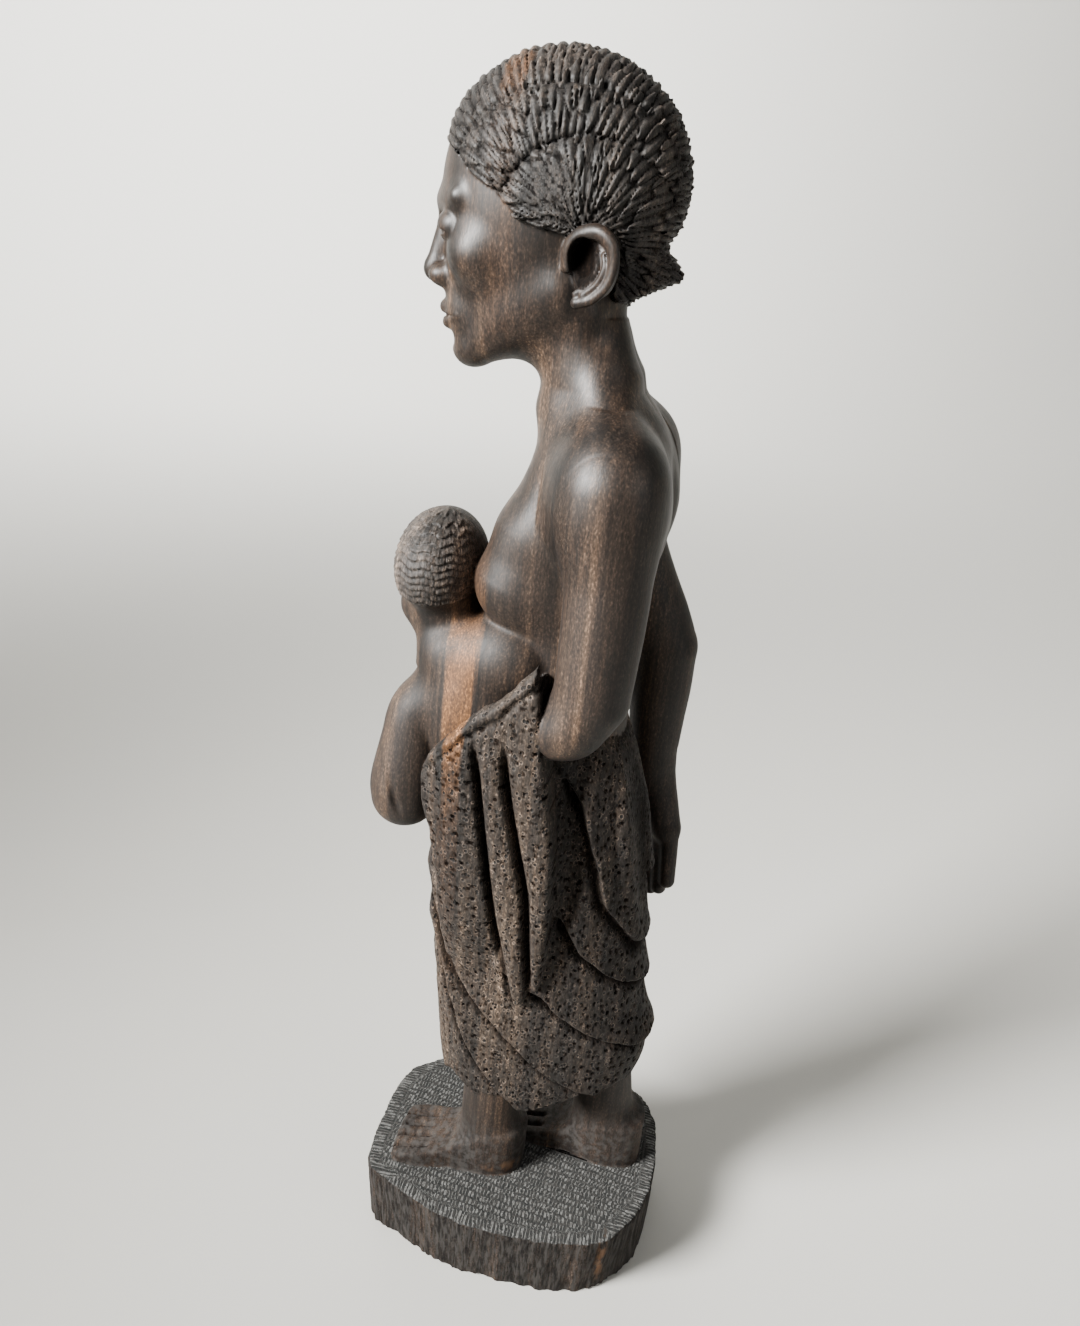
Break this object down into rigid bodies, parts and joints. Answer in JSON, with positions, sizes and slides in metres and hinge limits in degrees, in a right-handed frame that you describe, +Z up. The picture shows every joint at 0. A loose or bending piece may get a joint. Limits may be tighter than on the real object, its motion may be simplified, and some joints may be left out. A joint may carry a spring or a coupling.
{
  "type": "carved mother and child figure",
  "caption": "Standing figure of a mother in a wrapped skirt carrying a child on her arm, carved with its plinth from one block of dark wood.",
  "frame": {"origin": "middle of the plinth's underside, on the surface the figure stands on", "axes": "+Z up along the figure, -Y the way the mother faces, +X her left side, where she carries the child"},
  "size_m": [0.0857, 0.1125, 0.4],
  "materials": {
    "skin_wood": "dark ebony heartwood, sanded and waxed to a satin polish",
    "cloth_wood": "the same wood, punched all over with small pits and left matt",
    "hair_wood": "the same wood, cut in rows of short strokes",
    "plinth_wood": "the same wood, tooled on top and left rough on the sides"
  },
  "bodies": {
    "root": {"carrying_cloth": "cloth_wood", "child_hair": "hair_wood", "child_head": "skin_wood", "child_left_arm": "skin_wood", "child_right_arm": "skin_wood", "child_torso": "skin_wood", "hair_crown": "hair_wood", "hair_left_braid": "hair_wood", "hair_left_roll": "hair_wood", "hair_nape_tail": "hair_wood", "hair_right_braid": "hair_wood", "hair_right_roll": "hair_wood", "left_ear": "skin_wood", "left_foot": "skin_wood", "mother_head": "skin_wood", "mother_left_forearm": "skin_wood", "mother_left_hand": "skin_wood", "mother_left_upper_arm": "skin_wood", "mother_neck": "skin_wood", "mother_right_forearm": "skin_wood", "mother_right_hand": "skin_wood", "mother_right_upper_arm": "skin_wood", "mother_torso": "skin_wood", "plinth": "plinth_wood", "right_ear": "skin_wood", "right_foot": "skin_wood", "skirt_swags": "cloth_wood", "wrap_skirt": "cloth_wood"}
  },
  "joints": []
}
